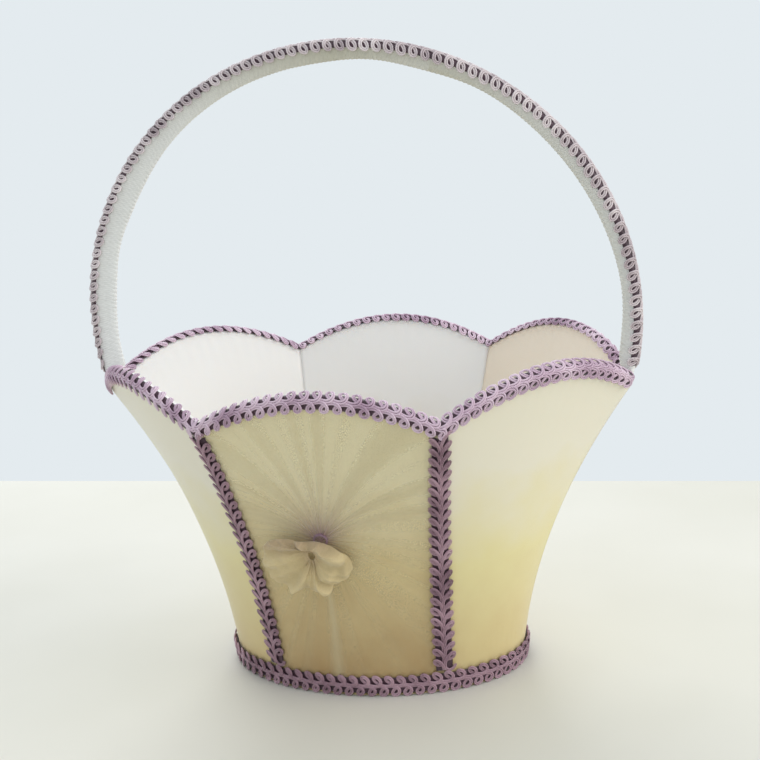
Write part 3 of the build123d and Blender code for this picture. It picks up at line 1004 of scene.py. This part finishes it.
def rosettePuff(name, node):
    # a tuft of the net pulled out past the tie: it spreads, curls forward and folds back into its middle
    half = (rosHigh - rosLow) / 2
    t = np.linspace(0, 1, rosette["rings"])[:, None]
    a = np.linspace(0, 2 * math.pi, rosette["spokes"], endpoint=False)[None, :]
    swirl = a + 0.30 * np.sin(2 * a + 3 * t) * t + 0.25 * t
    lobes = 1 + 0.13 * np.cos(2 * a + 0.5) + 0.07 * np.sin(3 * a + 0.4) + 0.05 * np.sin(5 * a + 2.0)
    out = np.clip(t / rosette["outTurn"], 0, 1)
    home = np.clip((t - rosette["outTurn"]) / (1 - rosette["outTurn"]), 0, 1)
    reach = np.sin(out * math.pi / 2) * np.cos(home * math.pi / 2 * 0.94) ** 0.8
    depth = 0.42 * (1 - np.cos(out * math.pi / 2)) + 0.58 * np.sin(home * math.pi / 2) ** 0.8
    depth = depth - rosette["dip"] * smooth(home, 0.55, 1.0)
    large = 1 - 2 * np.abs(np.sin(3.5 * swirl + 0.7)) ** 0.8
    small = 1 - 2 * np.abs(np.sin(6.0 * swirl + 2.1 + t))
    sharp = large + 0.6 * small
    swell = np.sin(math.pi * np.clip(t, 0.02, 1)) ** 0.5
    inward = smooth(home, 0.2, 1.0)
    x = half[0] * 0.92 * lobes * reach * np.cos(a) * (1 - 0.5 * inward) + rosette["mouth"][0] * inward
    y = half[2] * 0.86 * lobes * reach * np.sin(a) + rosette["mouth"][1] * inward
    z = rosette["depth"] * depth
    points = np.stack(np.broadcast_arrays(x, y, z), 2).reshape(-1, 3)
    radial = unit(np.stack([points[:, 0], points[:, 1], 0 * points[:, 0]], 1) + 1e-9)
    fold = (rosette["foldDepth"] * sharp * swell).reshape(-1)
    crumple = ripples(points, 7 * mm, 4.2) * 1.7 * mm + ripples(points, 3 * mm, 9.1) * 0.6 * mm
    crumple *= np.broadcast_to(swell, (rosette["rings"], rosette["spokes"])).reshape(-1)
    points[:, 2] += 0.75 * fold + crumple
    points += radial * (0.45 * fold + 0.5 * crumple)[:, None]
    points[:, 2] = np.maximum(points[:, 2], 0.3 * mm)
    for axis, room in ((0, half[0]), (1, half[2] * 0.97)):
        low, high = points[:, axis].min(), points[:, axis].max()
        points[:, axis] = (points[:, axis] - (low + high) / 2) * 2 * room / (high - low)
    base = puffCentre - outNormal * (rosette["depth"] * 0.55)
    place = base + points[:, :1] * np.array([1.0, 0, 0])
    place = place + points[:, 1:2] * upNormal + points[:, 2:] * outNormal
    faces = gridFaces(rosette["rings"], rosette["spokes"], closeColumns=True)
    shade = np.clip(0.55 + 0.28 * fold / rosette["foldDepth"] + 0.2 * crumple / mm, 0, 1)
    # a lilac tint towards the top, and painted shade darkening the mouth
    high = np.clip(points[:, 1] / half[2], -1, 1)
    inMouth = np.repeat(smooth(home, 0.75, 1.0).ravel(), rosette["spokes"])
    dye = np.clip(0.35 * smooth(high, 0.35, 1.0) + 0.25 * inMouth, 0, 1)
    piece = addMesh(name, place, faces, points[:, :2], {"fold": shade, "dye": dye})
    finishPiece(piece, rosetteTulle, [node])
    return piece


rosettePuff("front_tulle_rosette", "rosette")


tie = dict(
    turns=5,
    turnSteps=40,
    reach=2.9 * mm,  # from the middle of the neck
    wander=0.25 * mm,
    height=1.6 * mm,
    threadRadius=0.22 * mm,
)


def rosetteTie(name, node):
    # sewing thread wound a few times round the gathered neck
    turns = tie["turns"]
    t = np.linspace(0, turns, turns * tie["turnSteps"])
    reach = tie["reach"] + tie["wander"] * np.sin(t * 2.3)
    path = (
        knot
        + np.array([1.0, 0, 0]) * (reach * np.cos(2 * math.pi * t))[:, None]
        + upNormal * (reach * np.sin(2 * math.pi * t))[:, None]
        + outNormal * ((t / turns - 0.5) * tie["height"])[:, None]
    )
    piece = sweepTubes(name, [path], tie["threadRadius"], 8)
    return finishPiece(piece, threadCotton, [node])


rosetteTie("rosette_thread_tie", "rosette_tie")
print("rosette tied")


view = dict(
    distance=546.8 * mm,
    azimuth=11.858,
    elevation=13.457,
    aimAcross=38.6 * mm,
    aimHeight=146.7 * mm,
    roll=-3.69,
    lens=54.94,
    shiftX=-0.0789,
    shiftY=-0.0263,
)
azimuth, elevation, roll = (math.radians(view[k]) for k in ("azimuth", "elevation", "roll"))
back = np.array(
    [
        math.sin(azimuth) * math.cos(elevation),
        -math.cos(azimuth) * math.cos(elevation),
        math.sin(elevation),
    ],
)
aim = np.array(
    [view["aimAcross"] * math.cos(azimuth), view["aimAcross"] * math.sin(azimuth), view["aimHeight"]]
)
eye = aim + back * view["distance"]
level = unit(np.cross(-back, np.array([0, 0, 1.0])))
upright = np.cross(level, -back)
rightward = level * math.cos(roll) + upright * math.sin(roll)
upward = upright * math.cos(roll) - level * math.sin(roll)
cameraData = bpy.data.cameras.new("camera")
cameraData.lens = view["lens"]
cameraData.sensor_width = 36
cameraData.shift_x = view["shiftX"]
cameraData.shift_y = view["shiftY"]
camera = bpy.data.objects.new("camera", cameraData)
camera.matrix_world = Matrix(
    [(rightward[k], upward[k], back[k], eye[k]) for k in range(3)] + [(0, 0, 0, 1)]
)
bpy.context.scene.collection.objects.link(camera)
bpy.context.scene.camera = camera

table = dict(back=0.248, side=2.2, front=2.5, edgeSlant=math.radians(0.94))


def paleTable():
    # painted board with a faint mottle
    material, tree, shader = newMaterial("paintedTable")
    place = addNode(tree, "ShaderNodeTexCoord")
    mottle = addNode(
        tree, "ShaderNodeTexNoise", {"Scale": 6.0, "Detail": 3.0}, Vector=place.outputs["Object"]
    )
    stops = [(0.3, "#d2cfc4"), (0.7, "#dad7ce")]
    tone = addNode(tree, "ShaderNodeValToRGB", {"stops": stops}, Fac=mottle.outputs["Fac"])
    tree.links.new(tone.outputs["Color"], shader.inputs["Base Color"])
    shader.inputs["Roughness"].default_value = 0.6
    return material


cosE, sinE = math.cos(table["edgeSlant"]), math.sin(table["edgeSlant"])


def onTable(across, away):
    return (across * cosE - away * sinE, across * sinE + away * cosE, 0.0)


tableTop = addMesh(
    "table_top",
    [
        onTable(-table["side"], -table["front"]),
        onTable(table["side"], -table["front"]),
        onTable(table["side"], table["back"]),
        onTable(-table["side"], table["back"]),
    ],
    [(0, 1, 2, 3)],
)
tableTop.data.materials.append(paleTable())

world = bpy.data.worlds.new("paleRoom")
world.use_nodes = True
world.node_tree.nodes["Background"].inputs["Color"].default_value = toLinear("#e4ebef")
world.node_tree.nodes["Background"].inputs["Strength"].default_value = 1.0
bpy.context.scene.world = world
bpy.context.scene.view_settings.view_transform = "Standard"


def softbox(name, place, towards, size, power, colour):
    data = bpy.data.lights.new(name, "AREA")
    data.shape = "RECTANGLE"
    data.size, data.size_y = size
    data.energy = power
    data.color = toLinear(colour)[:3]
    light = bpy.data.objects.new(name, data)
    light.location = place
    light.rotation_euler = (Vector(towards) - Vector(place)).to_track_quat("-Z", "Y").to_euler()
    bpy.context.scene.collection.objects.link(light)


softbox("windowBehind", (-0.5, 0.9, 1.0), (0, 0, 0.12), (1.0, 0.8), 9.0, "#fbfdff")
softbox("windowRight", (1.1, -0.1, 0.7), (0, 0, 0.12), (0.8, 0.8), 6.0, "#fffdf8")
print("camera and lights set")
